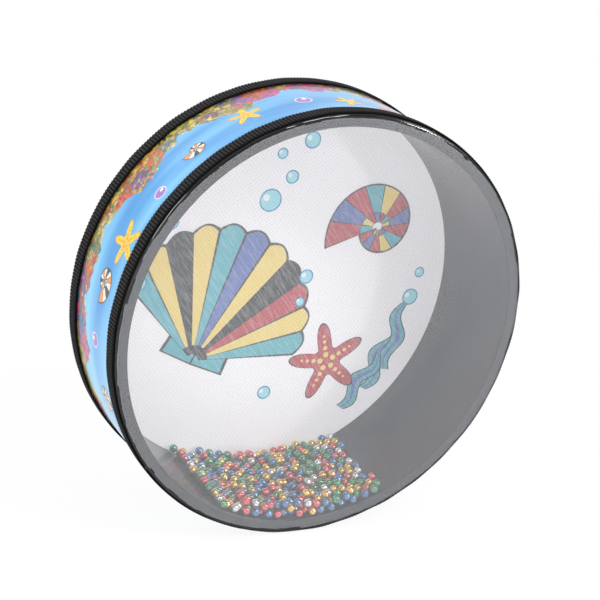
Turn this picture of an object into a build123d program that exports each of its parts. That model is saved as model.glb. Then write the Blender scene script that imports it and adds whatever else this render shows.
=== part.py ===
from build123d import *
import math
import os

import numpy as np

# Ocean drum: a round shell closed by two film heads, with loose beads inside that roll along the shell.
# The drum stands on its rim. Its axis is Y, the clear front head faces -Y, Z is up,
# and the origin is the middle of the drum. Sizes are in millimetres, angles in degrees.

# Shell: a bent hoop of fibreboard
shell_inner_radius = 116.6
shell_wall = 6.4
shell_depth = 73.4
shell_edge_round = 0.8
shell_bore_round = 0.5

# Layer of glue between two pieces that are stuck together
glue_line = 0.1

# Printed wrap round the outside of the shell, whose two ends meet in a butt seam
wrap_thickness = 0.2
wrap_end_gap = 0.3
wrap_seam_angle = -60.0

# Heads: a film over each end of the shell, folded down over its outside as a skirt
film_thickness = 0.3
film_skirt = 10.0

# Ribbons: a woven band over each skirt, whose two ends meet in a butt seam
ribbon_thickness = 1.2
ribbon_width = 10.6
ribbon_setback = 1.1
ribbon_edge_round = 0.8
ribbon_end_gap = 0.4
ribbon_seam_angle = -40.0

# Beads: lacquered steel shot, poured in loose and spread by rocking the drum:
# heap_curve is the share of the shell's own curve that the top of the heap follows, where 0 is level
bead_diameter = 5.0
bead_count = 480
bead_gap = 0.15
bead_wall_gap = 0.3
heap_curve = 0.38
bead_colour_shares = {"blue": 0.28, "gold": 0.22, "red": 0.20, "green": 0.17, "silver": 0.13}

# Pouring: how many places each bead tries, how often it settles lower, and the seed of the draws
pour_tries = 160
pour_settles = 4
pour_seed = 21

# Radii from the shell outwards
shell_outer_radius = shell_inner_radius + shell_wall
wrap_inner_radius = shell_outer_radius + glue_line
wrap_outer_radius = wrap_inner_radius + wrap_thickness
skirt_inner_radius = wrap_outer_radius + glue_line
skirt_outer_radius = skirt_inner_radius + film_thickness
ribbon_inner_radius = skirt_outer_radius + glue_line
ribbon_outer_radius = ribbon_inner_radius + ribbon_thickness

# Depths from the middle of the drum to each head
shell_reach = shell_depth / 2
film_inner_reach = shell_reach + glue_line
film_outer_reach = film_inner_reach + film_thickness
skirt_end_reach = film_outer_reach - film_skirt
ribbon_outer_reach = film_outer_reach - ribbon_setback

# The film's fold is concentric with its own thickness and clears the rounded edge of the shell
fold_inner_radius = shell_edge_round + skirt_inner_radius - shell_outer_radius
fold_outer_radius = fold_inner_radius + film_thickness
wrap_reach = film_inner_reach - fold_inner_radius

# Space that the centres of the beads keep to
bead_pitch = bead_diameter + bead_gap
bead_roll_radius = shell_inner_radius - bead_wall_gap - bead_diameter / 2
bead_roll_reach = film_inner_reach - bead_wall_gap - bead_diameter / 2


def section(inner_radius, outer_radius, low, high):
    """Rectangle of a piece's cross-section, with the radius along X and the depth along Y."""
    place = Pos((inner_radius + outer_radius) / 2, (low + high) / 2)
    return place * Rectangle(outer_radius - inner_radius, high - low)


def outer_corners(profile):
    """The corners of a cross-section that lie farthest from the drum's axis."""
    return profile.vertices().group_by(Axis.X)[-1]


def inner_corners(profile):
    """The corners of a cross-section that lie nearest to the drum's axis."""
    return profile.vertices().group_by(Axis.X)[0]


def turned(profile):
    """Solid of a cross-section turned all the way round the drum's axis."""
    return revolve(profile, Axis.Y)


def wound(profile, radius, end_gap, seam_angle):
    """Band wound once round the drum, with a gap where its two ends meet."""
    gap_angle = math.degrees(end_gap / radius)
    band = revolve(profile, Axis.Y, 360 - gap_angle)
    return Rot(Y=-seam_angle) * band


def make_shell():
    """Hoop with rounded outer edges, which the films fold over."""
    profile = section(shell_inner_radius, shell_outer_radius, -shell_reach, shell_reach)
    profile = fillet(outer_corners(profile), shell_edge_round)
    profile = fillet(inner_corners(profile), shell_bore_round)
    return turned(profile)


def make_wrap():
    """Printed sheet that is stuck round the straight part of the shell."""
    profile = section(wrap_inner_radius, wrap_outer_radius, -wrap_reach, wrap_reach)
    return wound(profile, wrap_outer_radius, wrap_end_gap, wrap_seam_angle)


def make_front_head():
    """Film across the front of the shell, with its fold and its skirt."""
    outside = section(0, skirt_outer_radius, -film_outer_reach, -skirt_end_reach)
    outside = fillet(outer_corners(outside).sort_by(Axis.Y)[0], fold_outer_radius)
    inside = section(0, skirt_inner_radius, -film_inner_reach, -skirt_end_reach)
    inside = fillet(outer_corners(inside).sort_by(Axis.Y)[0], fold_inner_radius)
    return turned(outside - inside)


def make_front_ribbon():
    """Woven band over the front skirt, with rounded outer edges."""
    profile = section(
        ribbon_inner_radius,
        ribbon_outer_radius,
        -ribbon_outer_reach,
        -ribbon_outer_reach + ribbon_width,
    )
    profile = fillet(outer_corners(profile), ribbon_edge_round)
    return wound(profile, ribbon_outer_radius, ribbon_end_gap, ribbon_seam_angle)


def resting_heights(x, y, centres):
    """Height at which a bead dropped at each x, y stops: on the shell, or on a bead below it."""
    on_shell = -np.sqrt(bead_roll_radius**2 - x**2)
    if len(centres) == 0:
        return on_shell
    aside_squared = (x[:, None] - centres[:, 0]) ** 2 + (y[:, None] - centres[:, 1]) ** 2
    rise_squared = bead_pitch**2 - aside_squared
    on_beads = centres[:, 2] + np.sqrt(np.maximum(rise_squared, 0))
    on_beads = np.where(rise_squared > 0, on_beads, -bead_roll_radius)
    return np.maximum(on_shell, on_beads.max(axis=1))


def heap_levels(x, y, centres):
    """Resting heights above the curve that the top of the heap follows."""
    shell_rise = bead_roll_radius - np.sqrt(bead_roll_radius**2 - x**2)
    return resting_heights(x, y, centres) - heap_curve * shell_rise


def drop_bead(draws, centres):
    """Centre of one more bead: the lowest of many places in the heap, then the lowest close to that."""
    x = draws.uniform(-bead_roll_radius, bead_roll_radius, pour_tries)
    y = draws.uniform(-bead_roll_reach, bead_roll_reach, pour_tries)
    spread = bead_pitch / 2
    for _ in range(pour_settles):
        lowest = heap_levels(x, y, centres).argmin()
        steps = draws.uniform(-spread, spread, (2, pour_tries))
        steps[:, 0] = 0
        x = np.clip(x[lowest] + steps[0], -bead_roll_radius, bead_roll_radius)
        y = np.clip(y[lowest] + steps[1], -bead_roll_reach, bead_roll_reach)
        spread = spread / 2
    lowest = heap_levels(x, y, centres).argmin()
    return x[lowest], y[lowest], resting_heights(x, y, centres)[lowest]


def pour_beads():
    """Beads by colour, dropped one after another into the standing drum."""
    draws = np.random.default_rng(pour_seed)
    colours = list(bead_colour_shares)
    weights = np.array(list(bead_colour_shares.values()))
    shares = weights / weights.sum()
    beads = {colour: [] for colour in colours}
    centres = np.empty((0, 3))
    for _ in range(bead_count):
        centre = drop_bead(draws, centres)
        centres = np.vstack([centres, centre])
        colour = colours[draws.choice(len(colours), p=shares)]
        beads[colour].append(Pos(*centre) * Sphere(bead_diameter / 2))
    return beads


def main():
    front_head = make_front_head()
    front_ribbon = make_front_ribbon()
    parts = {
        "shell": make_shell(),
        "shell_wrap": make_wrap(),
        "front_head": front_head,
        "back_head": mirror(front_head, Plane.XZ),
        "front_ribbon": front_ribbon,
        "back_ribbon": mirror(front_ribbon, Plane.XZ),
    }
    for colour, beads in pour_beads().items():
        parts[f"beads_{colour}"] = Compound(beads)

    os.makedirs("parts", exist_ok=True)
    for node, solid in parts.items():
        export_step(solid, f"parts/{node}.step")


main()
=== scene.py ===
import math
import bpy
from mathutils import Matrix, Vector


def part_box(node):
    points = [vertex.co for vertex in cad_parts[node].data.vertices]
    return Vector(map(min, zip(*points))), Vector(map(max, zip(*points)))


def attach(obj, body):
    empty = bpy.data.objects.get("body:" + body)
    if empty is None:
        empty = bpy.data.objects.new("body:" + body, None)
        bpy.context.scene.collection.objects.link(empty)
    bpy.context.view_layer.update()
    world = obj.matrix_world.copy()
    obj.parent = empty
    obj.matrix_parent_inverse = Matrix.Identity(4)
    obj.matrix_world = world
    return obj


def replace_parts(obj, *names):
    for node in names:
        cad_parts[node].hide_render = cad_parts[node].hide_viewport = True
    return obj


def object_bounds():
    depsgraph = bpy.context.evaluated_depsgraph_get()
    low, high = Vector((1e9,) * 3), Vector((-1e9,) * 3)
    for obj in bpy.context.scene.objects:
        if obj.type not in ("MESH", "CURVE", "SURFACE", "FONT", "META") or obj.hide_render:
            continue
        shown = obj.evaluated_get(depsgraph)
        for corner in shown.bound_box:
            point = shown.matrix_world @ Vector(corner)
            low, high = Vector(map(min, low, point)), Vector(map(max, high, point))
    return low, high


bl_info = {
    "name": "Ocean drum",
    "version": (1, 0, 0),
    "blender": (4, 5, 0),
    "location": "View3D > Sidebar > Ocean drum",
    "description": "Dresses the frame of an ocean drum with its films, ribbons, prints and beads",
    "category": "Object",
}

import bmesh
import bpy
import numpy as np
from mathutils import Matrix, Vector
from mathutils.geometry import delaunay_2d_cdt

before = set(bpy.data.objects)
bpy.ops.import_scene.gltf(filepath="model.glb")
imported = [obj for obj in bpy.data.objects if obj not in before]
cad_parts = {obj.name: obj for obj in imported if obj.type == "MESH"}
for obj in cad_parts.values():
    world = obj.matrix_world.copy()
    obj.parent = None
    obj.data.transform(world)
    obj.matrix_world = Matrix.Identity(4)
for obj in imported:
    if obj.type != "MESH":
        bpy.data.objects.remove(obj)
cad_low, cad_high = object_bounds()

# The drum's axis is Y, its clear head faces -Y and it stands on its rim. Lengths are in metres.
MM = 0.001
TURN = 2 * math.pi


def linear(code):
    """Linear red, green and blue of an sRGB hex colour such as #3a7bd5."""
    shares = [int(code[at : at + 2], 16) / 255 for at in (1, 3, 5)]
    return [s / 12.92 if s <= 0.04045 else ((s + 0.055) / 1.055) ** 2.4 for s in shares]


def node_radii(node):
    """Smallest and largest distance of a CAD node's corners from the drum's axis."""
    distances = [math.hypot(corner.co.x, corner.co.z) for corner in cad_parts[node].data.vertices]
    return min(distances), max(distances)


# Sizes and colours that a user may change

FILM_WHITE = "#fbfafc"


def size(name, text, millimetres):
    """A length that is shown in the sidebar."""
    return bpy.props.FloatProperty(
        name=name,
        description=text,
        default=millimetres * MM,
        min=0,
        precision=5,
        subtype="DISTANCE",
        unit="LENGTH",
    )


def tint(name, text, code):
    """A colour that is shown in the sidebar."""
    return bpy.props.FloatVectorProperty(
        name=name, description=text, default=linear(code), min=0, max=1, size=3, subtype="COLOR"
    )


class DrumSizes(bpy.types.PropertyGroup):
    """Sizes of the details that the frame doesn't hold."""

    film: size("Film", "Thickness of the two heads", 0.3)
    fold: size("Fold", "Outer radius of the film where it turns over the rim", 1.5)
    wrinkle: size("Wrinkle", "Height of the small creases in the folded film", 0.09)
    rib: size("Rib", "Spacing of the ribs along a ribbon", 2.0)
    groove: size("Groove", "Depth of the grooves between the ribs", 0.4)
    waver: size("Waver", "How far a glued ribbon strays from a true circle", 0.25)
    line: size("Line", "Width of the drawn outlines on the back head", 0.8)
    weave: size("Weave", "Spacing of the threads in the back head's grain", 1.9)
    lift: size("Lift", "Height of the wrap's printed motifs over the wrap", 0.04)


class DrumColours(bpy.types.PropertyGroup):
    """Colours of the pieces."""

    shell: tint("Shell", "Paint inside the drum", "#1c1d21")
    haze: tint("Haze", "Milky tone of the clear film", "#eef1fb")
    glue: tint("Glue", "Glue under the folded film", "#0d0d0f")
    film: tint("Film", "Back head where nothing is printed", FILM_WHITE)
    ribbon: tint("Ribbon", "Ribs of the woven ribbons", "#383637")
    water: tint("Water", "Deep tone of the wrap's water", "#2f8bcd")
    shallows: tint("Shallows", "Light tone of the wrap's water", "#79c2ea")
    blue: tint("Blue beads", "Lacquer of the blue beads", "#3478b2")
    gold: tint("Gold beads", "Lacquer of the gold beads", "#f8c230")
    red: tint("Red beads", "Lacquer of the red beads", "#e64a48")
    green: tint("Green beads", "Lacquer of the green beads", "#1a964e")
    silver: tint("Silver beads", "Plating of the silver beads", "#eceded")


# Inks of the back head, of which the first is the bare film
INKS = {
    "film": FILM_WHITE,
    "outline": "#3c3d40",
    "teal": "#74c8d3",
    "blue": "#7a90cb",
    "yellow": "#f4e292",
    "rose": "#d05a64",
    "bubble": "#b2e9f2",
    "rim": "#3fa3c8",
}

# Inks of the wrap's small motifs
WRAP_INKS = {
    "dark": "#2b2a30",
    "yellow": "#f4c522",
    "cream": "#efe4d4",
    "coral": "#f0705e",
    "orange": "#ee8a2a",
    "violet": "#9a6cc0",
}

# Small helpers for meshes and materials


def on_drum(radius, angle, depth):
    """Points at a radius, an angle from +X towards +Z, and a depth along +Y."""
    return np.stack(np.broadcast_arrays(radius * np.cos(angle), depth, radius * np.sin(angle)), -1)


def ripple(angle, waves, seed):
    """Wavy line round the drum that closes on itself, within about -1 to 1."""
    draws = np.random.default_rng(seed)
    total = sum(np.sin(wave * angle + draws.uniform(0, TURN)) for wave in waves)
    return total / math.sqrt(len(waves))


def quads_over(around, across, close_round, close_across):
    """Faces over a grid of points, whose corners are numbered across first."""
    index = np.arange(around * across).reshape(around, across)
    if close_round:
        index = np.vstack([index, index[:1]])
    if close_across:
        index = np.hstack([index, index[:, :1]])
    corners = index[:-1, :-1], index[1:, :-1], index[1:, 1:], index[:-1, 1:]
    return np.stack(corners, -1).reshape(-1, 4).tolist()


def add_piece(name, mesh, materials, slot, *nodes):
    """Puts a mesh on the drum as a piece that stands for CAD nodes."""
    for material in materials:
        mesh.materials.append(material)
    piece = bpy.data.objects.new(name, mesh)
    bpy.context.scene.collection.objects.link(piece)
    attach(piece, "drum")
    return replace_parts(piece, *nodes)


def dress_node(node, material):
    """Gives a CAD node that stays in view its finished material."""
    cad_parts[node].material_slots[0].material = material


def add(tree, kind, inputs=None, stops=None, **settings):
    """Adds one shader node: its settings, its sockets' values or links, and a ramp's colour stops."""
    node = tree.nodes.new("ShaderNode" + kind)
    for name, value in settings.items():
        setattr(node, name, value)
    for name, value in (inputs or {}).items():
        if isinstance(value, bpy.types.NodeSocket):
            tree.links.new(value, node.inputs[name])
        elif node.inputs[name].type == "RGBA":
            node.inputs[name].default_value = (*value, 1)
        else:
            node.inputs[name].default_value = value
    for at, (place, code) in enumerate(stops or []):
        ramp = node.color_ramp.elements
        stop = ramp[at] if at < len(ramp) else ramp.new(place)
        stop.position = place
        stop.color = (*linear(code), 1)
    return node


def start_material(name):
    """New material with an empty tree, and the object's own coordinates in it."""
    material = bpy.data.materials.new(name)
    material.use_nodes = True
    tree = material.node_tree
    tree.nodes.clear()
    return material, tree, add(tree, "TexCoord").outputs["Object"]


# Materials


def satin_black_paint(colours):
    """Satin black paint on fibreboard: near black, with soft blurred reflections that vary a little."""
    cloud_width, dust_gain = 45 * MM, 1.5
    smoothest, roughest = 0.18, 0.3
    material, tree, place = start_material("satin_black_paint")
    cloud = add(tree, "TexNoise", {"Vector": place, "Scale": 1 / cloud_width, "Detail": 3}).outputs["Fac"]
    rough = add(tree, "MapRange", {"Value": cloud, "To Min": smoothest, "To Max": roughest})
    dusty = [dust_gain * c for c in colours.shell]
    tone = add(tree, "MixRGB", {"Fac": cloud, "Color1": colours.shell, "Color2": dusty})
    paint = add(
        tree,
        "BsdfPrincipled",
        {"Base Color": tone.outputs["Color"], "Roughness": rough.outputs["Result"], "IOR": 1.5},
    )
    add(tree, "OutputMaterial", {"Surface": paint.outputs["BSDF"]})
    return material


def milky_polyester(colours, glue_start):
    """Clear polyester film, a little milky: a thin white veil with a mirror gloss.

    From about glue_start outwards black glue with a ragged edge lies under it,
    so the fold looks like black glass."""
    rag_width, block_width, drift_width = 2.5 * MM, 9 * MM, 50 * MM
    rag, block, drift, spread = 0.8 * MM, 2.0 * MM, 1.2 * MM, 1.1 * MM
    block_contrast, mean_block, edge_soft = 4, 0.2, 0.3 * MM
    veil = 0.04
    head_on, glancing, glancing_fold, slant_power = 0.045, 0.9, 0.12, 5
    material, tree, place = start_material("milky_polyester")
    parts = add(tree, "SeparateXYZ", {"Vector": place}).outputs
    ring = add(tree, "CombineXYZ", {"X": parts["X"], "Z": parts["Z"]}).outputs["Vector"]
    radius = add(tree, "VectorMath", {0: ring}, operation="LENGTH").outputs["Value"]
    # Edge of the glue: ragged all along, stepped in blocks, drifting slowly, and wider at top and bottom
    ragged = add(tree, "TexNoise", {"Vector": ring, "Scale": 1 / rag_width, "Detail": 4, "Roughness": 0.65})
    blocks = add(tree, "TexVoronoi", {"Vector": ring, "Scale": 1 / block_width})
    slow = add(tree, "TexNoise", {"Vector": ring, "Scale": 1 / drift_width, "Detail": 1})
    patches = add(tree, "Math", {0: blocks.outputs["Color"], 1: block_contrast}, operation="POWER")
    height = add(tree, "Math", {0: parts["Z"], 1: parts["Z"]}, operation="MULTIPLY")
    edge = radius
    for amount, pattern in (
        (rag, ragged.outputs["Fac"]),
        (block, patches.outputs["Value"]),
        (drift, slow.outputs["Fac"]),
        (spread / glue_start**2, height.outputs["Value"]),
    ):
        edge = add(tree, "Math", {0: pattern, 1: amount, 2: edge}, operation="MULTIPLY_ADD").outputs["Value"]
    mean_edge = glue_start + (rag + drift) / 2 + mean_block * block
    glued = add(
        tree,
        "MapRange",
        {"Value": edge, "From Min": mean_edge, "From Max": mean_edge + edge_soft},
        interpolation_type="SMOOTHSTEP",
    ).outputs["Result"]
    # Veil, which is solid where there is glue
    tone = add(tree, "MixRGB", {"Fac": glued, "Color1": colours.haze, "Color2": colours.glue})
    cover = add(tree, "MapRange", {"Value": glued, "To Min": veil, "To Max": 1}).outputs["Result"]
    haze = add(tree, "BsdfDiffuse", {"Color": tone.outputs["Color"]}).outputs["BSDF"]
    clear = add(tree, "BsdfTransparent", {"Color": (1, 1, 1)}).outputs["BSDF"]
    film = add(tree, "MixShader", {0: cover, 1: clear, 2: haze}).outputs["Shader"]
    # Gloss: the creased fold scatters what it would mirror at a glancing angle
    mirror = add(tree, "BsdfGlossy", {"Color": (1, 1, 1), "Roughness": 0.08}).outputs["BSDF"]
    slant = add(tree, "LayerWeight", {"Blend": 0.5}).outputs["Facing"]
    steep = add(tree, "Math", {0: slant, 1: slant_power}, operation="POWER").outputs["Value"]
    most = add(tree, "MapRange", {"Value": glued, "To Min": glancing, "To Max": glancing_fold})
    gloss = add(tree, "MapRange", {"Value": steep, "To Min": head_on, "To Max": most.outputs["Result"]})
    surface = add(tree, "MixShader", {0: gloss.outputs["Result"], 1: film, 2: mirror})
    add(tree, "OutputMaterial", {"Surface": surface.outputs["Shader"]})
    return material


def printed_white_film(ink, colour, sizes):
    """White polyester film with a woven grain under one flat ink: matte, and lets light through.

    The ink is streaky, as if brushed on, and the bare film isn't."""
    streak_width, streak_length = 1.4 * MM, 9 * MM
    streak_low, streak_high, streak_fade = 0.45, 0.75, 0.55
    warp_share, groove_shade, white_share = 0.6, 0.84, 0.45
    lean = math.radians(38)
    # A wave texture of scale 1 goes through this many radians in each metre
    wave_rate = 20
    material, tree, place = start_material("printed_white_film_" + ink)
    turned = add(tree, "Mapping", {"Vector": place, "Rotation": (0, lean, 0)}).outputs["Vector"]
    # Real threads are about 0.4 mm apart, which is finer than a pixel, so they are drawn coarser
    thread = {"Vector": turned, "Scale": TURN / wave_rate / sizes.weave, "Distortion": 0.2}
    warp = add(tree, "TexWave", thread, bands_direction="X").outputs["Fac"]
    weft = add(tree, "TexWave", thread, bands_direction="Z").outputs["Fac"]
    weave = add(tree, "Math", {0: warp, 1: warp_share, 2: weft}, operation="MULTIPLY_ADD").outputs["Value"]
    strokes = (1 / streak_width, 1 / streak_width, 1 / streak_length)
    brushed = add(tree, "Mapping", {"Vector": turned, "Scale": strokes}).outputs["Vector"]
    streak = add(tree, "TexNoise", {"Vector": brushed, "Scale": 1, "Detail": 3}).outputs["Fac"]
    strength = 0 if ink == "film" else streak_fade
    fade = add(
        tree,
        "MapRange",
        {"Value": streak, "From Min": streak_low, "From Max": streak_high, "To Max": strength},
    )
    washed = [(1 - white_share) * c + white_share for c in colour]
    inked = add(tree, "MixRGB", {"Fac": fade.outputs["Result"], "Color1": colour, "Color2": washed})
    # Painted shade: the grooves between the threads are drawn darker than the threads
    shade = add(tree, "MapRange", {"Value": weave, "From Max": 1 + warp_share, "To Min": groove_shade})
    woven = add(
        tree,
        "MixRGB",
        {"Fac": 1, "Color1": inked.outputs["Color"], "Color2": shade.outputs["Result"]},
        blend_type="MULTIPLY",
    ).outputs["Color"]
    bump = add(tree, "Bump", {"Height": weave, "Strength": 0.25, "Distance": 0.1 * MM})
    matte = add(
        tree,
        "BsdfPrincipled",
        {"Base Color": woven, "Roughness": 0.55, "IOR": 1.57, "Normal": bump.outputs["Normal"]},
    )
    through = add(tree, "BsdfTranslucent", {"Color": woven})
    film = add(tree, "MixShader", {0: 0.5, 1: matte.outputs["BSDF"], 2: through.outputs["BSDF"]})
    add(tree, "OutputMaterial", {"Surface": film.outputs["Shader"]})
    return material


def ribbed_polyester(colours, sizes, top):
    """Black polyester ribbon with a corded weave: dull dark grey threads on the ribs, with painted shade
    that turns them black between the ribs.

    top is the distance of the ribs' tops from the drum's axis."""
    # Real threads are about 0.2 mm apart, which is finer than a pixel, so they are drawn coarser
    thread, cloud_width = 0.7 * MM, 14 * MM
    # Share of the ribbon's colour left where painted shade darkens the grooves
    dull_share, groove_shade_share = 0.6, 0.04
    crest_start, crest_end = top - 0.8 * sizes.groove, top - 0.1 * sizes.groove
    material, tree, place = start_material("ribbed_polyester")
    parts = add(tree, "SeparateXYZ", {"Vector": place}).outputs
    ring = add(tree, "CombineXYZ", {"X": parts["X"], "Z": parts["Z"]}).outputs["Vector"]
    radius = add(tree, "VectorMath", {0: ring}, operation="LENGTH").outputs["Value"]
    # Painted shade: below the ribs' tops the colour goes near black, in the grooves and on the rounded edges
    crest_shade_mask = add(tree, "MapRange", {"Value": radius, "From Min": crest_start, "From Max": crest_end})
    cloud = add(tree, "TexNoise", {"Vector": place, "Scale": 1 / cloud_width, "Detail": 4})
    fluff = add(tree, "TexNoise", {"Vector": place, "Scale": 1 / thread, "Detail": 3})
    dull = [dull_share * c for c in colours.ribbon]
    black = [groove_shade_share * c for c in colours.ribbon]
    worn = add(tree, "MixRGB", {"Fac": cloud.outputs["Fac"], "Color1": dull, "Color2": colours.ribbon})
    shaded_cord = add(
        tree,
        "MixRGB",
        {"Fac": crest_shade_mask.outputs["Result"], "Color1": black, "Color2": worn.outputs["Color"]},
    )
    bump = add(tree, "Bump", {"Height": fluff.outputs["Fac"], "Strength": 0.4, "Distance": 0.15 * MM})
    cloth = add(
        tree,
        "BsdfPrincipled",
        {
            "Base Color": shaded_cord.outputs["Color"],
            "Roughness": 0.8,
            "IOR": 1.5,
            "Specular IOR Level": 0.1,
            "Normal": bump.outputs["Normal"],
        },
    )
    add(tree, "OutputMaterial", {"Surface": cloth.outputs["BSDF"]})
    return material


def bead_lacquer(name, colour):
    """Tinted metallic lacquer on steel shot: a bright coloured mirror under a clear coat.

    Tone and gloss differ a little from bead to bead."""
    bead_width, beads_alike = 5.0 * MM, 0.6
    paler, deeper = 0.12, 0.7
    smoothest, roughest = 0.1, 0.25
    material, tree, place = start_material(name + "_lacquer_on_steel")
    batch = add(tree, "TexNoise", {"Vector": place, "Scale": beads_alike / bead_width, "Detail": 1})
    pale = [c + paler * (1 - c) for c in colour]
    deep = [deeper * c for c in colour]
    tone = add(tree, "MixRGB", {"Fac": batch.outputs["Fac"], "Color1": deep, "Color2": pale})
    rough = add(tree, "MapRange", {"Value": batch.outputs["Fac"], "To Min": smoothest, "To Max": roughest})
    lacquer = add(
        tree,
        "BsdfPrincipled",
        {
            "Base Color": tone.outputs["Color"],
            "Metallic": 0.75,
            "Roughness": rough.outputs["Result"],
            "Coat Weight": 1.0,
            "Coat Roughness": 0.03,
        },
    )
    add(tree, "OutputMaterial", {"Surface": lacquer.outputs["BSDF"]})
    return material


# Colours of the wrap's reef, from the first to the last place on a ramp
REEF_COLOURS = [
    (0.00, "#d8c99a"),
    (0.08, "#b8a468"),
    (0.16, "#5f7f34"),
    (0.24, "#d8472c"),
    (0.32, "#8c4326"),
    (0.40, "#e6bc46"),
    (0.47, "#3d6a3a"),
    (0.54, "#3b67ae"),
    (0.61, "#e03e46"),
    (0.68, "#8a4a96"),
    (0.76, "#4c4a50"),
    (0.84, "#f0d440"),
    (0.92, "#2f8a3c"),
    (1.00, "#c95aa8"),
]

# Gloss of the wrap's film: smooth, under a thin lacquer that blurs what it mirrors
PRINT_GLOSS = {"Roughness": 0.3, "IOR": 1.5, "Coat Weight": 0.3, "Coat Roughness": 0.15}


def printed_sea_wrap(colours):
    """Glossy printed film: light bands of water, and a speckled many-coloured reef along the back edge."""
    patch, speckle, branch, swell, hill = 15 * MM, 2.6 * MM, 2.6 * MM, 60 * MM, 30 * MM
    reef_top, reef_swing, branch_rise, reef_soft = 10 * MM, 22 * MM, 9 * MM, 1.2 * MM
    foot_start, foot_end, foot_dark = 14 * MM, 26 * MM, 0.7
    band_stretch, tuft_share = (0.35, 2.6, 0.35), 0.16
    dark_grit, light_grit = 0.25, 1.6
    material, tree, place = start_material("printed_sea_wrap")
    depth = add(tree, "SeparateXYZ", {"Vector": place}).outputs["Y"]
    # Water
    calm = add(tree, "Mapping", {"Vector": place, "Scale": band_stretch}).outputs["Vector"]
    waves = add(tree, "TexNoise", {"Vector": calm, "Scale": 1 / swell, "Detail": 2}).outputs["Fac"]
    light = add(tree, "MapRange", {"Value": waves, "From Min": 0.36, "From Max": 0.64}).outputs["Result"]
    water = add(tree, "MixRGB", {"Fac": light, "Color1": colours.water, "Color2": colours.shallows})
    # Reef colours in patches with crooked borders, and a finer mix of the same colours inside them
    crooked = add(tree, "TexNoise", {"Vector": place, "Scale": 2 / patch, "Detail": 4, "Roughness": 0.7})
    bent = add(
        tree,
        "VectorMath",
        {0: crooked.outputs["Color"], 1: (patch,) * 3, 2: place},
        operation="MULTIPLY_ADD",
    ).outputs["Vector"]
    patches = add(tree, "TexVoronoi", {"Vector": bent, "Scale": 1 / patch}).outputs["Color"]
    tufts = add(tree, "TexVoronoi", {"Vector": bent, "Scale": 1 / branch}).outputs["Color"]
    hue = add(tree, "MixRGB", {"Fac": tuft_share, "Color1": patches, "Color2": tufts}).outputs["Color"]
    pick = add(tree, "SeparateXYZ", {"Vector": hue}).outputs["X"]
    rocky = add(tree, "ValToRGB", {"Fac": pick}, REEF_COLOURS).outputs["Color"]
    # Shade: fine grit all over, and a dark foot
    gritty = add(tree, "TexNoise", {"Vector": place, "Scale": 1 / speckle, "Detail": 5, "Roughness": 0.75})
    grit = gritty.outputs["Fac"]
    grit_shade = add(
        tree,
        "MapRange",
        {"Value": grit, "From Min": 0.32, "From Max": 0.68, "To Min": dark_grit, "To Max": light_grit},
    )
    foot_shade = add(
        tree,
        "MapRange",
        {"Value": depth, "From Min": foot_start, "From Max": foot_end, "To Min": 1, "To Max": foot_dark},
    )
    for shade in (grit_shade, foot_shade):
        rocky = add(
            tree,
            "MixRGB",
            {"Fac": 1, "Color1": rocky, "Color2": shade.outputs["Result"]},
            blend_type="MULTIPLY",
        ).outputs["Color"]
    # Reef outline: hills along the edge, with tufts that stand up from it
    flat = add(tree, "Mapping", {"Vector": place, "Scale": (1, 0, 1)}).outputs["Vector"]
    skyline = add(tree, "TexNoise", {"Vector": flat, "Scale": 1 / hill, "Detail": 3}).outputs["Fac"]
    hill_height = add(
        tree,
        "MapRange",
        {
            "Value": skyline,
            "From Min": 0.3,
            "From Max": 0.7,
            "To Min": reef_top + reef_swing / 2,
            "To Max": reef_top - reef_swing / 2,
        },
    ).outputs["Result"]
    above = add(tree, "Math", {0: depth, 1: hill_height}, operation="SUBTRACT").outputs["Value"]
    tufted = add(tree, "Math", {0: grit, 1: branch_rise, 2: above}, operation="MULTIPLY_ADD")
    cover = add(
        tree,
        "MapRange",
        {
            "Value": tufted.outputs["Value"],
            "From Min": branch_rise / 2,
            "From Max": branch_rise / 2 + reef_soft,
        },
        interpolation_type="SMOOTHSTEP",
    ).outputs["Result"]
    picture = add(tree, "MixRGB", {"Fac": cover, "Color1": water.outputs["Color"], "Color2": rocky})
    bump = add(tree, "Bump", {"Height": waves, "Strength": 0.05, "Distance": 0.3 * MM})
    print_film = add(
        tree,
        "BsdfPrincipled",
        {"Base Color": picture.outputs["Color"], "Normal": bump.outputs["Normal"], **PRINT_GLOSS},
    )
    add(tree, "OutputMaterial", {"Surface": print_film.outputs["BSDF"]})
    return material


def wrap_ink(ink, code):
    """One ink of the wrap's glossy print, a little mottled as a printed photograph is."""
    mottle, darker, lighter = 1.5 * MM, 0.55, 1.35
    material, tree, place = start_material("glossy_wrap_ink_" + ink)
    dots = add(tree, "TexNoise", {"Vector": place, "Scale": 1 / mottle, "Detail": 3}).outputs["Fac"]
    dark = [darker * c for c in linear(code)]
    light = [min(1, lighter * c) for c in linear(code)]
    tone = add(tree, "MixRGB", {"Fac": dots, "Color1": dark, "Color2": light})
    gloss = add(tree, "BsdfPrincipled", {"Base Color": tone.outputs["Color"], **PRINT_GLOSS})
    add(tree, "OutputMaterial", {"Surface": gloss.outputs["BSDF"]})
    return material


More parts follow.
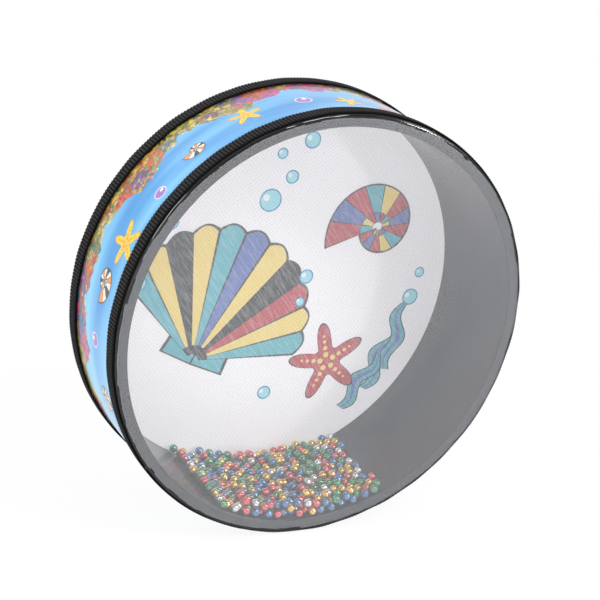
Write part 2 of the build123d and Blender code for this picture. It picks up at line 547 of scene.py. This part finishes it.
def studio_floor():
    """White paper sweep: it looks white from the camera and keeps the drum's soft shadow close to it."""
    shadow_reach, white_from, white_share = 0.35, 0.9, 0.92
    material, tree, place = start_material("white_paper_floor")
    paper = add(tree, "BsdfDiffuse", {"Color": linear("#f2f2f2")}).outputs["BSDF"]
    glow = add(tree, "Emission", {"Color": (1, 1, 1), "Strength": 1.0}).outputs["Emission"]
    ray = add(tree, "LightPath").outputs
    seen = ray["Is Camera Ray"]
    for kind in ("Is Glossy Ray", "Is Transmission Ray"):
        seen = add(tree, "Math", {0: seen, 1: ray[kind]}, operation="MAXIMUM").outputs["Value"]
    away = add(tree, "VectorMath", {0: place}, operation="LENGTH").outputs["Value"]
    whiter = add(
        tree,
        "MapRange",
        {"Value": away, "From Min": shadow_reach, "From Max": white_from, "To Min": white_share},
    ).outputs["Result"]
    share = add(tree, "Math", {0: seen, 1: whiter}, operation="MULTIPLY").outputs["Value"]
    sweep = add(tree, "MixShader", {0: share, 1: paper, 2: glow})
    add(tree, "OutputMaterial", {"Surface": sweep.outputs["Shader"]})
    return material


# Printed motifs: each is a list of outlines in millimetres with their inks, painted in that order


def placed(layers, centre, turn, scale=1.0):
    """Motif moved to its place on the print, turned by an angle in degrees."""
    a = math.radians(turn)
    rotate = scale * np.array([[math.cos(a), math.sin(a)], [-math.sin(a), math.cos(a)]])
    return [(points @ rotate + np.array(centre), ink) for points, ink in layers]


def disc(radius, centre=(0, 0), squash=1.0, points=28):
    """Round outline, squashed sideways where squash is under 1."""
    a = np.linspace(0, TURN, points, endpoint=False)
    return np.stack([radius * squash * np.cos(a), radius * np.sin(a)], 1) + np.array(centre)


def bubble(radius, line, inks=("rim", "bubble", "film")):
    """Air bubble: a rim, a pale filling and a light spot."""
    rim, filling, spot = inks
    return [
        (disc(radius), rim),
        (disc(radius - line), filling),
        (disc(radius * 0.3, (-radius * 0.3, radius * 0.35)), spot),
    ]


def fan_shell(length, line, stripes, dark):
    """Fan-shaped sea shell with its hinge at the origin: striped ribs side by side, with round ends."""
    spread, droop, scallop = math.radians(66), 0.2, 0.05
    edges = np.linspace(-spread, spread, len(stripes) + 1)

    def rib(low, high, start, grow):
        a = np.linspace(low, high, 9)
        fan = length * (1 - droop * (a / spread) ** 2)
        rim = fan * (1 + scallop * np.sin(np.pi * (a - low) / (high - low))) + grow
        foot = np.linspace(high, low, 3)
        outer = np.stack([rim * np.sin(a), rim * np.cos(a)], 1)
        inner = np.stack([start * np.sin(foot), start * np.cos(foot)], 1)
        return np.vstack([outer, inner])

    gap = line / length
    outline, filling = 1.06, 0.94
    ear = np.array([(0, -0.03), (0.26, -0.02), (0.24, 0.16), (0, 0.2)]) * length
    other_ear = ear[::-1] * (-1, 1)
    layers = [(np.vstack([ear, other_ear[1:-1]]) * outline, dark)]
    for side in (-1, 1):
        inset = np.array([0.007 * side, 0.008]) * length
        layers.append((ear * (filling * side, filling) + inset, stripes[0]))
    for low, high in zip(edges, edges[1:]):
        layers.append((rib(low - gap, high + gap, 0.05 * length, line), dark))
    for low, high, ink in zip(edges, edges[1:], stripes):
        layers.append((rib(low + gap, high - gap, 0.12 * length, -0.4 * line), ink))
    return layers


def coiled_shell(radius, line, stripes, dark):
    """Coiled sea shell: stripes across two turns of a growing spiral, with a dark line round each."""
    growth, turns, stripe_turn = 0.165, 2.0, 1 / 13

    def spiral(a):
        return radius * np.exp(growth * (a - turns * TURN))

    def band(low, high, inset):
        a = np.linspace(low, high, 7)
        outer = spiral(a) - inset
        inner = spiral(a[::-1] - TURN) + 0.3 * inset
        a_back = a[::-1]
        return np.vstack(
            [
                np.stack([outer * np.cos(a), outer * np.sin(a)], 1),
                np.stack([inner * np.cos(a_back), inner * np.sin(a_back)], 1),
            ]
        )

    count = int(turns / stripe_turn)
    edges = np.linspace(0, turns * TURN, count + 1)
    layers = []
    for at, (low, high) in enumerate(zip(edges, edges[1:])):
        gap = 0.45 * line / spiral(high)
        layers.append((band(low - gap, high + gap, -line), dark))
        layers.append((band(low + gap, high - gap, 0.3 * line), stripes[at % len(stripes)]))
    return layers


def sea_star(radius, line, inks, dark):
    """Five-armed sea star with a row of dots along each arm."""

    def star(reach):
        a = np.linspace(0, TURN, 90, endpoint=False)
        r = reach * (0.36 + 0.64 * (0.5 + 0.5 * np.cos(5 * a)) ** 1.5)
        return np.stack([-r * np.sin(a), r * np.cos(a)], 1)

    body, dots = inks
    layers = [(star(radius + 1.6 * line), dark), (star(radius), body)]
    for arm in np.arange(5) * TURN / 5:
        for share in (0.18, 0.36, 0.53, 0.68):
            place = (-radius * share * math.sin(arm), radius * share * math.cos(arm))
            layers.append((disc(radius * 0.075 * (1.15 - share), place, points=12), dots))
    return layers


def weed_blade(length, width, line, sway, inks):
    """Wavy blade of sea weed that rises from the origin and narrows to its tip."""

    def blade(grow):
        t = np.linspace(0, 1, 24)
        middle = sway * np.sin(t * 1.6 * TURN)
        half = np.maximum((width / 2) * np.sin(np.pi * (0.1 + 0.88 * t)) ** 0.6 + grow, 0.06 * width)
        left = np.stack([middle - half, t * length], 1)
        right = np.stack([middle + half, t * length], 1)
        return np.vstack([left, right[::-1]])

    dark, fill, vein = inks
    return [(blade(line), dark), (blade(0), fill), (blade(-0.33 * width), vein)]


def jelly(radius, inks):
    """Jellyfish: a round cap over wavy trailing threads."""
    cap, trail = inks
    a = np.linspace(0, math.pi, 15)
    dome = np.stack([radius * np.cos(a), 0.8 * radius * np.sin(a)], 1)
    thread = weed_blade(1.9 * radius, 0.22 * radius, 0, 0.12 * radius, (trail, trail, trail))
    layers = []
    for place in np.linspace(-0.7, 0.7, 5) * radius:
        layers += placed(thread, (place, 0), 180)
    return layers + [(dome, cap)]


def back_head_print(line):
    """Generic sea motifs on the back head, as they look from the front, in millimetres from its middle."""
    dark, weed_width, bubble_turn = "outline", 9, 20
    fan = ["teal", "yellow", dark, "yellow", "teal", "blue", "yellow", dark, "rose", "yellow", "teal"]
    coil = ["rose", "yellow", "teal", "rose", "blue"]
    layers = []
    for place, turn, length, sway in (
        ((72, -72), -24, 50, 4),
        ((86, -60), -8, 46, -3),
        ((58, -84), -34, 42, 3),
    ):
        layers += placed(weed_blade(length, weed_width, line, sway, (dark, "teal", "blue")), place, turn)
    layers += placed(fan_shell(82, line, fan, dark), (-46, -46), -24)
    layers += placed(coiled_shell(36, line, coil, dark), (66, 34), 200)
    layers += placed(sea_star(25, line, ("rose", "yellow"), dark), (44, -52), 14)
    for place, radius in (
        ((-8, 52), 7.0),
        ((4, 66), 4.2),
        ((-4, 80), 3.4),
        ((14, 88), 5.2),
        ((22, 4), 4.6),
        ((20, -12), 3.2),
        ((96, -12), 5.4),
        ((100, 4), 3.4),
        ((-68, 40), 4.6),
        ((-60, 54), 3.4),
        ((4, -70), 4.4),
        ((-84, 4), 5.0),
    ):
        layers += placed(bubble(radius, line), place, bubble_turn)
    return layers


def wrap_print(length, seed=5):
    """Generic sea motifs for the wrap, in millimetres: along it from its seam, and across it."""
    spacing, stray, line = 30.0, 6, 0.45
    draws = np.random.default_rng(seed)
    layers = []
    for at in range(int(length / spacing)):
        centre = ((at + 0.5) * spacing + draws.uniform(-stray, stray), draws.uniform(-16, -2))
        turn, grow = draws.uniform(-40, 40), draws.uniform(0.75, 1.25)
        kind = draws.integers(5)
        if kind == 0:
            stripes = ["cream", "yellow", "cream", "dark", "cream", "yellow", "cream"]
            motif = fan_shell(23, line, stripes, "dark")
        elif kind == 1:
            motif = sea_star(11, line, ("yellow", "orange"), "orange")
        elif kind == 2:
            motif = jelly(8.5, ("coral", "cream"))
        elif kind == 3:
            motif = coiled_shell(10, line, ["cream", "orange", "cream", "dark"], "dark")
        else:
            motif = bubble(4.0, 0.6, ("cream", "violet", "cream"))
        layers.append(placed(motif, centre, turn, grow))
    return layers


def cut_sheet(outlines, extra=()):
    """Triangles of a sheet cut along its outlines, and which outline lies on top in each."""
    corners, rings = [], []
    for points in outlines:
        ahead = np.roll(points, -1, 0)
        clockwise = np.sum(points[:, 0] * ahead[:, 1] - points[:, 1] * ahead[:, 0]) < 0
        rings.append(list(range(len(corners), len(corners) + len(points))))
        corners += [Vector(p) for p in (points[::-1] if clockwise else points)]
    corners += [Vector(p) for p in extra]
    places, _, faces, _, _, covers = delaunay_2d_cdt(corners, [], rings, 1, 1e-5)
    kept = [(face, max(cover)) for face, cover in zip(faces, covers) if cover]
    return np.array([tuple(p) for p in places]), [face for face, _ in kept], [top for _, top in kept]


# Pieces


class OCEAN_DRUM_OT_shell(bpy.types.Operator):
    """Paint the bent shell, which keeps its CAD shape."""

    bl_idname = "ocean_drum.shell"
    bl_label = "Shell"

    def execute(self, context):
        dress_node("shell", satin_black_paint(context.scene.ocean_drum_colours))
        return {"FINISHED"}


class OCEAN_DRUM_OT_wrap(bpy.types.Operator):
    """Print the wrap, which keeps its CAD shape, and lay its small motifs on it."""

    bl_idname = "ocean_drum.wrap"
    bl_label = "Wrap"

    def execute(self, context):
        dress_node("shell_wrap", printed_sea_wrap(context.scene.ocean_drum_colours))
        radius = node_radii("shell_wrap")[1] + context.scene.ocean_drum_sizes.lift
        inks = list(WRAP_INKS)
        corners, faces, tops = [], [], []
        grid, seam = 2.0, math.radians(-60)
        for layers in wrap_print(TURN * radius / MM):
            low = np.min([points.min(0) for points, _ in layers], 0)
            high = np.max([points.max(0) for points, _ in layers], 0)
            lines = [np.arange(low[axis], high[axis], grid) for axis in (0, 1)]
            extra = np.stack(np.meshgrid(*lines), -1).reshape(-1, 2)
            places, triangles, covers = cut_sheet([points for points, _ in layers], extra)
            faces += [[corner + len(corners) for corner in face] for face in triangles]
            tops += [inks.index(layers[cover][1]) for cover in covers]
            angle = seam + places[:, 0] * MM / radius
            corners += on_drum(radius, angle, places[:, 1] * MM).tolist()
        mesh = bpy.data.meshes.new("wrap_motifs")
        mesh.from_pydata(corners, [], faces)
        mesh.polygons.foreach_set("material_index", tops)
        mesh.flip_normals()
        mesh.shade_smooth()
        add_piece("wrap_motifs", mesh, [wrap_ink(ink, WRAP_INKS[ink]) for ink in inks], "printed_wrap")
        return {"FINISHED"}


def make_head(name, node, side, layers, materials, slot):
    """Film over one end of the drum: a flat sheet cut along its print, a creased fold and a skirt."""
    sizes = bpy.context.scene.ocean_drum_sizes
    low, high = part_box(node)
    reach = max(abs(low.y), abs(high.y))
    skirt_end = min(abs(low.y), abs(high.y))
    flat_radius = node_radii(node)[1] - sizes.fold
    steps, bend_steps, skirt_steps = 720, 9, 4
    crease_waves, crease_seed, weld = range(5, 75, 6), 3, 0.002 * MM
    angle = np.linspace(0, TURN, steps, endpoint=False)
    # Flat sheet
    edge = np.stack([np.cos(angle), np.sin(angle)], 1) * flat_radius / MM
    places, faces, tops = cut_sheet([edge] + [points for points, _ in layers])
    flat = np.stack([places[:, 0] * MM, np.full(len(places), side * reach), places[:, 1] * MM], 1)
    inks = [0] + [list(INKS).index(ink) for _, ink in layers]
    # Fold and skirt
    bend = np.linspace(0, math.pi / 2, bend_steps)
    crease = ripple(angle, crease_waves, crease_seed)[:, None] * sizes.wrinkle * np.sin(2 * bend) ** 2
    fold_radius = flat_radius + (sizes.fold + crease) * np.sin(bend)
    fold_depth = reach - sizes.fold + (sizes.fold + crease) * np.cos(bend)
    skirt_depth = np.linspace(reach - sizes.fold, skirt_end, skirt_steps)[1:]
    skirt_radius = np.full((steps, skirt_steps - 1), flat_radius + sizes.fold)
    radius = np.hstack([fold_radius, skirt_radius])
    depth = np.hstack([fold_depth, np.broadcast_to(skirt_depth, (steps, skirt_steps - 1))])
    folded = on_drum(radius, angle[:, None], side * depth)
    strip = [[corner + len(flat) for corner in quad] for quad in quads_over(*folded.shape[:2], True, False)]
    mesh = bpy.data.meshes.new(name)
    mesh.from_pydata(np.vstack([flat, folded.reshape(-1, 3)]).tolist(), [], faces + strip)
    mesh.polygons.foreach_set("material_index", [inks[top] for top in tops] + [0] * len(strip))
    mesh.polygons.foreach_set("use_smooth", [False] * len(faces) + [True] * len(strip))
    sewn = bmesh.new()
    sewn.from_mesh(mesh)
    bmesh.ops.remove_doubles(sewn, verts=sewn.verts, dist=weld)
    bmesh.ops.dissolve_degenerate(sewn, dist=weld, edges=sewn.edges)
    bmesh.ops.recalc_face_normals(sewn, faces=sewn.faces)
    middle = min(sewn.faces, key=lambda face: math.hypot(*face.calc_center_median().xz))
    if middle.normal.y * side < 0:
        bmesh.ops.reverse_faces(sewn, faces=sewn.faces)
    sewn.to_mesh(mesh)
    sewn.free()
    head = add_piece(name, mesh, materials, slot, node)
    thick = head.modifiers.new("film_thickness", "SOLIDIFY")
    thick.thickness = sizes.film
    thick.offset = -1
    return head


class OCEAN_DRUM_OT_front_head(bpy.types.Operator):
    """Stretch the clear film over the front."""

    bl_idname = "ocean_drum.front_head"
    bl_label = "Front head"

    def execute(self, context):
        sizes = context.scene.ocean_drum_sizes
        glue_start = node_radii("front_head")[1] - sizes.fold
        film = milky_polyester(context.scene.ocean_drum_colours, glue_start)
        make_head("front_film", "front_head", -1, [], [film], "clear_film")
        return {"FINISHED"}


class OCEAN_DRUM_OT_back_head(bpy.types.Operator):
    """Stretch the printed white film over the back."""

    bl_idname = "ocean_drum.back_head"
    bl_label = "Back head"

    def execute(self, context):
        sizes = context.scene.ocean_drum_sizes
        tones = {ink: linear(code) for ink, code in INKS.items()}
        tones["film"] = context.scene.ocean_drum_colours.film
        materials = [printed_white_film(ink, tone, sizes) for ink, tone in tones.items()]
        make_head("back_film", "back_head", 1, back_head_print(sizes.line / MM), materials, "white_film")
        return {"FINISHED"}


class OCEAN_DRUM_OT_ribbons(bpy.types.Operator):
    """Wind a ribbed ribbon round each end of the drum."""

    bl_idname = "ocean_drum.ribbons"
    bl_label = "Ribbons"

    def execute(self, context):
        sizes = context.scene.ocean_drum_sizes
        cloth = ribbed_polyester(context.scene.ocean_drum_colours, sizes, node_radii("front_ribbon")[1])
        for seed, (node, head) in enumerate((("front_ribbon", "front_film"), ("back_ribbon", "back_film"))):
            self.wind(sizes, node, head, cloth, seed)
        return {"FINISHED"}

    def wind(self, sizes, node, head, cloth, seed):
        """Ribbed band over one head's skirt, whose ends meet in a butt seam."""
        seam, seam_gap = math.radians(-40), 0.4 * MM
        samples, across = 8, 15
        scallop, squareness, under_share = 0.25 * MM, 5, 0.9
        waver_waves, first_seed = range(3, 40, 4), 11
        inner, outer = node_radii(node)
        low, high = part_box(node)
        middle, half = (low.y + high.y) / 2, (high.y - low.y) / 2
        length = TURN * outer - seam_gap
        ribs = round(length / sizes.rib)
        along = np.linspace(0, 1, ribs * samples + 1)
        angle = (seam + seam_gap / outer / 2 + along * length / outer)[:, None]
        ridge = np.sin(math.pi * ribs * along) ** 2
        lean = np.sin(np.linspace(-math.pi / 2, math.pi / 2, across))
        swell = (1 - np.abs(lean) ** squareness) ** (1 / squareness)
        height = (outer - inner) - sizes.groove * (1 - ridge[:, None])
        radius = inner + height * swell
        wander = sizes.waver * ripple(angle, waver_waves, first_seed + seed)
        depth = middle + wander + lean * (half - scallop * (1 - ridge[:, None]))
        under = np.array([under_share, -under_share]) * half + middle + wander
        points = np.concatenate(
            [on_drum(radius, angle, depth), on_drum(np.full_like(under, inner), angle, under)], axis=1
        )
        faces = quads_over(*points.shape[:2], False, True)
        width = points.shape[1]
        last = points.shape[0] * width
        faces += [list(range(width)), list(range(last - width, last))[::-1]]
        mesh = bpy.data.meshes.new(node + "_ribbed")
        mesh.from_pydata(points.reshape(-1, 3).tolist(), [], faces)
        mesh.flip_normals()
        mesh.shade_smooth()
        ribbon = add_piece(node + "_ribbed", mesh, [cloth], "black_ribbon", node)


class OCEAN_DRUM_OT_beads(bpy.types.Operator):
    """Lacquer the loose beads, which keep their CAD shape."""

    bl_idname = "ocean_drum.beads"
    bl_label = "Beads"

    def execute(self, context):
        colours = context.scene.ocean_drum_colours
        for name in ("blue", "gold", "red", "green", "silver"):
            dress_node("beads_" + name, bead_lacquer(name, getattr(colours, name)))
        return {"FINISHED"}


class OCEAN_DRUM_OT_stage(bpy.types.Operator):
    """Set up the floor, the lamps, the white surroundings and the camera."""

    bl_idname = "ocean_drum.stage"
    bl_label = "Stage"

    def execute(self, context):
        context.scene.view_settings.view_transform = "Standard"
        self.lay_floor(context.scene)
        self.light(context.scene)
        self.surround(context.scene)
        self.place_camera(context.scene)
        return {"FINISHED"}

    def lay_floor(self, scene):
        """Round sheet of white paper under the rim."""
        reach = 6.0
        paper = bmesh.new()
        bmesh.ops.create_circle(paper, cap_ends=True, segments=64, radius=reach)
        mesh = bpy.data.meshes.new("floor")
        paper.to_mesh(mesh)
        paper.free()
        mesh.materials.append(studio_floor())
        floor = bpy.data.objects.new("floor", mesh)
        floor.location.z = cad_low.z
        scene.collection.objects.link(floor)

    def light(self, scene):
        """Softboxes round the drum. The small low one casts the rim's curved shadow on the printed head."""
        for name, watts, width, place in (
            ("left_softbox", 6.0, 0.4, (-1.0, -0.12, 0.65)),
            ("front_softbox", 6.0, 0.32, (0.25, -0.65, 0.9)),
            ("fill_softbox", 3.2, 0.8, (-0.75, -1.1, 0.1)),
            ("right_softbox", 4.0, 0.4, (0.85, -0.65, 0.5)),
            ("low_softbox", 3.0, 0.08, (0.72, -1.0, 0.02)),
            ("back_softbox", 5.0, 0.5, (0.0, 1.1, 0.16)),
        ):
            lamp = bpy.data.lights.new(name, "AREA")
            lamp.energy = watts
            lamp.size = width
            softbox = bpy.data.objects.new(name, lamp)
            softbox.location = place
            softbox.rotation_euler = (-Vector(place)).to_track_quat("-Z", "Y").to_euler()
            scene.collection.objects.link(softbox)

    def surround(self, scene):
        """White backdrop to the camera. Reflections show it too, but a dim room behind the camera.

        As a light it is softer than white."""
        light_level, room_level = 0.6, 0.35
        room_end, backdrop_start = -0.6, 0.1
        scene.world = bpy.data.worlds.new("white_surroundings")
        scene.world.use_nodes = True
        tree = scene.world.node_tree
        tree.nodes.clear()
        way = add(tree, "TexCoord").outputs["Generated"]
        along = add(tree, "SeparateXYZ", {"Vector": way}).outputs["Y"]
        backdrop = add(
            tree,
            "MapRange",
            {"Value": along, "From Min": room_end, "From Max": backdrop_start, "To Min": room_level},
            interpolation_type="SMOOTHSTEP",
        ).outputs["Result"]
        ray = add(tree, "LightPath").outputs
        mirrored = add(
            tree,
            "Math",
            {0: ray["Is Glossy Ray"], 1: ray["Is Transmission Ray"]},
            operation="MAXIMUM",
        ).outputs["Value"]
        lit = add(tree, "MapRange", {"Value": mirrored, "To Min": light_level, "To Max": backdrop})
        level = add(tree, "Math", {0: ray["Is Camera Ray"], 1: lit.outputs["Result"]}, operation="MAXIMUM")
        white = add(tree, "Background", {"Color": (1, 1, 1), "Strength": level.outputs["Value"]})
        add(tree, "OutputWorld", {"Surface": white.outputs["Background"]})

    def place_camera(self, scene):
        """Camera in front of the drum, to its left and above it, held at a slight tilt."""
        azimuth, elevation, roll = (math.radians(a) for a in (-28.58, 20.09, 7.92))
        distance, aside, above, lens = 920.6 * MM, 0.5 * MM, 4.2 * MM, 97.14
        flat = math.cos(elevation)
        back = Vector((math.sin(azimuth) * flat, -math.cos(azimuth) * flat, math.sin(elevation)))
        level = Vector((math.cos(azimuth), math.sin(azimuth), 0))
        right = math.cos(roll) * level + math.sin(roll) * back.cross(level)
        up = back.cross(right)
        camera = bpy.data.objects.new("camera", bpy.data.cameras.new("camera"))
        camera.data.lens = lens
        camera.matrix_world = Matrix((right, up, back)).transposed().to_4x4()
        camera.location = right * aside + up * above + back * distance
        scene.collection.objects.link(camera)
        scene.camera = camera


class OCEAN_DRUM_PT_sidebar(bpy.types.Panel):
    """Sizes, colours and the steps that build the drum."""

    bl_idname = "OCEAN_DRUM_PT_sidebar"
    bl_label = "Ocean drum"
    bl_space_type = "VIEW_3D"
    bl_region_type = "UI"
    bl_category = "Ocean drum"

    def draw(self, context):
        for group in (context.scene.ocean_drum_sizes, context.scene.ocean_drum_colours):
            box = self.layout.box()
            for name in group.__annotations__:
                box.prop(group, name)
        for step in STEPS:
            self.layout.operator(step.bl_idname)


STEPS = (
    OCEAN_DRUM_OT_stage,
    OCEAN_DRUM_OT_shell,
    OCEAN_DRUM_OT_wrap,
    OCEAN_DRUM_OT_front_head,
    OCEAN_DRUM_OT_back_head,
    OCEAN_DRUM_OT_ribbons,
    OCEAN_DRUM_OT_beads,
)
CLASSES = (DrumSizes, DrumColours, *STEPS, OCEAN_DRUM_PT_sidebar)


def register():
    for kind in CLASSES:
        bpy.utils.register_class(kind)
    bpy.types.Scene.ocean_drum_sizes = bpy.props.PointerProperty(type=DrumSizes)
    bpy.types.Scene.ocean_drum_colours = bpy.props.PointerProperty(type=DrumColours)


def unregister():
    del bpy.types.Scene.ocean_drum_colours
    del bpy.types.Scene.ocean_drum_sizes
    for kind in reversed(CLASSES):
        bpy.utils.unregister_class(kind)


def main():
    """Builds the stage and every piece in order."""
    register()
    bpy.ops.ocean_drum.stage()
    bpy.ops.ocean_drum.shell()
    bpy.ops.ocean_drum.wrap()
    bpy.ops.ocean_drum.front_head()
    bpy.ops.ocean_drum.back_head()
    bpy.ops.ocean_drum.ribbons()
    bpy.ops.ocean_drum.beads()


if __name__ == "__main__":
    main()
